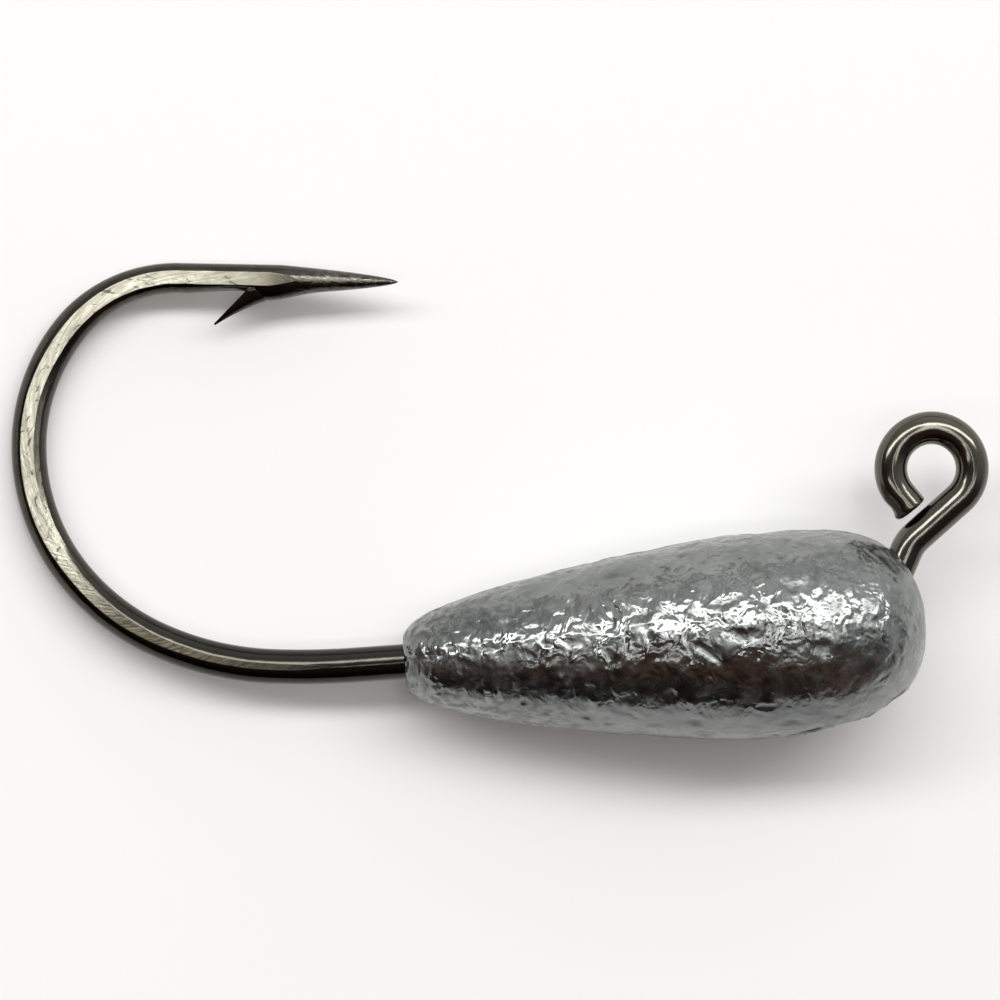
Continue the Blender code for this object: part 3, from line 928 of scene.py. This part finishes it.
def hook_material():
    """Black nickel, brushed, with the forged flats painted paler as a painted reflection of the key
    light.
    """
    n = Nodes("black nickel", NICKEL, 0.15)
    wire = n.attribute("wire", "Vector")
    along = n.component(wire, "X")
    ends = n.times(n.remap(along, 27.5, 33.0, 1.0, 0.15), n.remap(along, 4.2, 5.4, 0.3, 1.0))
    forged = n.times(n.attribute("forged"), ends)
    streaks = n.noise(n.stretched(n.turned(wire, 9.0), (0.8, 10.0, 10.0)), 1.0, 3.0, 0.6)
    hatch = n.noise(n.stretched(n.turned(wire, 38.0), (1.9, 12.0, 5.0)), 1.0, 3.0, 0.6, 0.3)
    mottle = n.noise(n.stretched(wire, (2.2, 3.2, 3.2)), 1.0, 4.0, 0.6)
    marks = n.noise(n.stretched(n.turned(wire, -24.0), (1.6, 5.0, 5.0)), 1.0, 5.0, 0.7, 0.8)
    pitted = n.noise(n.stretched(wire, (4.0, 9.0, 9.0)), 1.0, 3.0, 0.6)
    tip = n.times(n.remap(along, 4.9, 2.6), n.remap(pitted, 0.4, 0.6, 0.2, 1.0))
    # The flats: painted pale as a painted reflection of the key light, scratched on top and on the
    # left, hatched gold on the lower bend.
    pale = n.blend(n.remap(streaks, 0.35, 0.66), FLAT_SHADED, FLAT_PAINTED_SHEEN)
    pale = n.blend(n.remap(mottle, 0.42, 0.66, 0.0, 0.6), pale, FLAT_WORN)
    pale = n.blend(n.remap(marks, 0.56, 0.64, 0.0, 0.9), pale, FLAT_MARK)
    pale = n.blend(n.remap(along, 5.5, 9.0, 0.64, 0.0), pale, FLAT_UPPER)
    gold = n.blend(n.remap(hatch, 0.42, 0.60), GOLD_DARK, GOLD_PALE)
    pale = n.blend(n.remap(along, 22.0, 26.0, 0.0, 0.93), pale, gold)
    # The rest of the wire: painted darker on the lower bend and the shank as painted shade, paler
    # at the eye and point.
    dark = n.blend(n.remap(mottle, 0.40, 0.62), NICKEL, NICKEL_DEEP)
    dark = n.blend(n.remap(along, 22.0, 30.0, 0.0, 0.8), dark, NICKEL_LOWER_BEND_SHADE)
    dark = n.blend(n.remap(along, 51.0, 55.0), dark, n.blend(mottle, EYE_PALE, EYE_DARK))
    dark = n.blend(n.times(tip, 0.4), dark, NICKEL_TIP)
    n.link(n.blend(forged, dark, pale), n.shader.inputs["Base Color"])
    plain_rough = n.total(n.remap(streaks, 0.3, 0.7, 0.09, 0.17), n.times(tip, 0.01))
    worn_rough = n.remap(mottle, 0.3, 0.7, 0.36, 0.48)
    rougher = n.times(forged, n.math("SUBTRACT", worn_rough, plain_rough))
    n.link(n.total(plain_rough, rougher), n.shader.inputs["Roughness"])
    drawn = n.bump(streaks, 0.0025)
    ground = n.bump(n.times(pitted, tip), 0.012, drawn)
    cut = n.times(hatch, n.remap(along, 21.0, 25.0, 0.35, 1.0), forged)
    n.link(n.bump(cut, 0.03, ground), n.shader.inputs["Normal"])
    return n.material


def build_stage():
    """A round sheet of plain pale paper, curving up all round like a shallow dish."""
    turn = 2 * pi * np.arange(FLOOR_SIDES) / FLOOR_SIDES
    rise = np.linspace(0.0, radians(FLOOR_RIM_ANGLE), FLOOR_RISE_RINGS)
    radii = np.concatenate([FLOOR_INNER, FLOOR_FLAT + FLOOR_SWEEP * np.sin(rise)])
    heights = np.concatenate([[0.0, 0.0], FLOOR_SWEEP * (1 - np.cos(rise))])
    circle = np.column_stack([np.cos(turn), np.sin(turn), np.ones(FLOOR_SIDES)])
    rings = [circle * (radius, radius, height) for radius, height in zip(radii, heights)]
    sheet = grid_mesh("floor", rings, open_end=True)
    sheet.transform(Matrix.Translation((0.0, 0.0, -FLOOR_GAP * MM)))
    floor = bpy.data.objects.new("floor", sheet)
    bpy.context.scene.collection.objects.link(floor)
    paper = bpy.data.materials.new("paper")
    paper.use_nodes = True
    shader = paper.node_tree.nodes["Principled BSDF"]
    shader.inputs["Base Color"].default_value = (*PAPER, 1.0)
    shader.inputs["Roughness"].default_value = 0.9
    sheet.materials.append(paper)


def strip_light(name, aim, size, radiance, colour):
    """A soft rectangular light. aim gives its direction from the jig and size its extent,
    both in degrees along the shank and across it towards the hook's open side."""
    reach = LIGHT_DISTANCE * MM
    data = bpy.data.lights.new(name, "AREA")
    data.shape = "RECTANGLE"
    data.size = 2 * reach * tan(radians(size[0]) / 2)
    data.size_y = 2 * reach * tan(radians(size[1]) / 2)
    data.energy = radiance * pi * data.size * data.size_y
    data.color = colour
    light = bpy.data.objects.new(name, data)
    bpy.context.scene.collection.objects.link(light)
    middle = Matrix.Translation((LIGHT_CENTRE[0] * MM, LIGHT_CENTRE[1] * MM, 0.0))
    turn = Matrix.Rotation(radians(aim[0]), 4, "Y") @ Matrix.Rotation(-radians(aim[1]), 4, "X")
    light.matrix_world = JIG @ middle @ turn @ Matrix.Translation((0.0, 0.0, reach))


def build_room():
    """A dim room: grey on one side of the jig, dark brown on the belly's side."""
    world = bpy.data.worlds.new("room")
    bpy.context.scene.world = world
    world.use_nodes = True
    nodes, links = world.node_tree.nodes, world.node_tree.links
    coords = nodes.new("ShaderNodeTexCoord")
    turn = nodes.new("ShaderNodeVectorRotate")
    turn.rotation_type = "Z_AXIS"
    turn.inputs["Angle"].default_value = radians(ROOM_TURN)
    links.new(coords.outputs["Generated"], turn.inputs["Vector"])
    split = nodes.new("ShaderNodeSeparateXYZ")
    links.new(turn.outputs["Vector"], split.inputs["Vector"])
    shift = nodes.new("ShaderNodeMapRange")
    shift.inputs["From Min"].default_value = -1.0
    shift.inputs["From Max"].default_value = 1.0
    links.new(split.outputs["Y"], shift.inputs["Value"])
    ramp = nodes.new("ShaderNodeValToRGB")
    links.new(shift.outputs["Result"], ramp.inputs["Fac"])
    stops = ramp.color_ramp.elements
    stops[0].position, stops[1].position = ROOM_STOPS[0][0], ROOM_STOPS[-1][0]
    for place, _ in ROOM_STOPS[1:-1]:
        stops.new(place)
    for stop, (_, colour) in zip(stops, ROOM_STOPS):
        stop.color = (*colour, 1.0)
    links.new(ramp.outputs["Color"], nodes["Background"].inputs["Color"])
    nodes["Background"].inputs["Strength"].default_value = 1.0


def build_lights():
    """A wide soft strip towards the open side, a thin one near the shank and a short one
    set across them."""
    strip_light("key", (5.0, 27.0), (92.0, 12.0), 8.3, (1.0, 0.995, 0.97))
    strip_light("second", (0.0, -7.0), (56.0, 4.5), 4.0, (1.0, 0.99, 0.96))
    strip_light("third", (9.0, 10.0), (6.0, 28.0), 5.0, (1.0, 0.99, 0.96))


def build_camera():
    """The view square on to the hook's plane, rolled so that the shank rises to the right."""
    data = bpy.data.cameras.new("camera")
    data.lens = LENS
    data.sensor_width = SENSOR
    data.dof.use_dof = False
    distance = VIEW_WIDTH * MM * LENS / SENSOR
    camera = bpy.data.objects.new("camera", data)
    bpy.context.scene.collection.objects.link(camera)
    place = Matrix.Translation((VIEW_CENTRE[0] * MM, VIEW_CENTRE[1] * MM, distance))
    camera.matrix_world = JIG @ place @ Matrix.Rotation(-radians(VIEW_ROLL), 4, "Z")
    data.clip_start = 0.01
    data.clip_end = 5.0
    bpy.context.scene.camera = camera
    bpy.context.scene.view_settings.view_transform = "Standard"


def main():
    """Build the visual model and its stage."""
    build_camera()
    build_stage()
    build_room()
    build_lights()
    add_piece("forged_hook", hook_mesh(), "hook", hook_material())
    add_piece("cast_lead_head", head_mesh(), "lead_head", lead_material())


main()
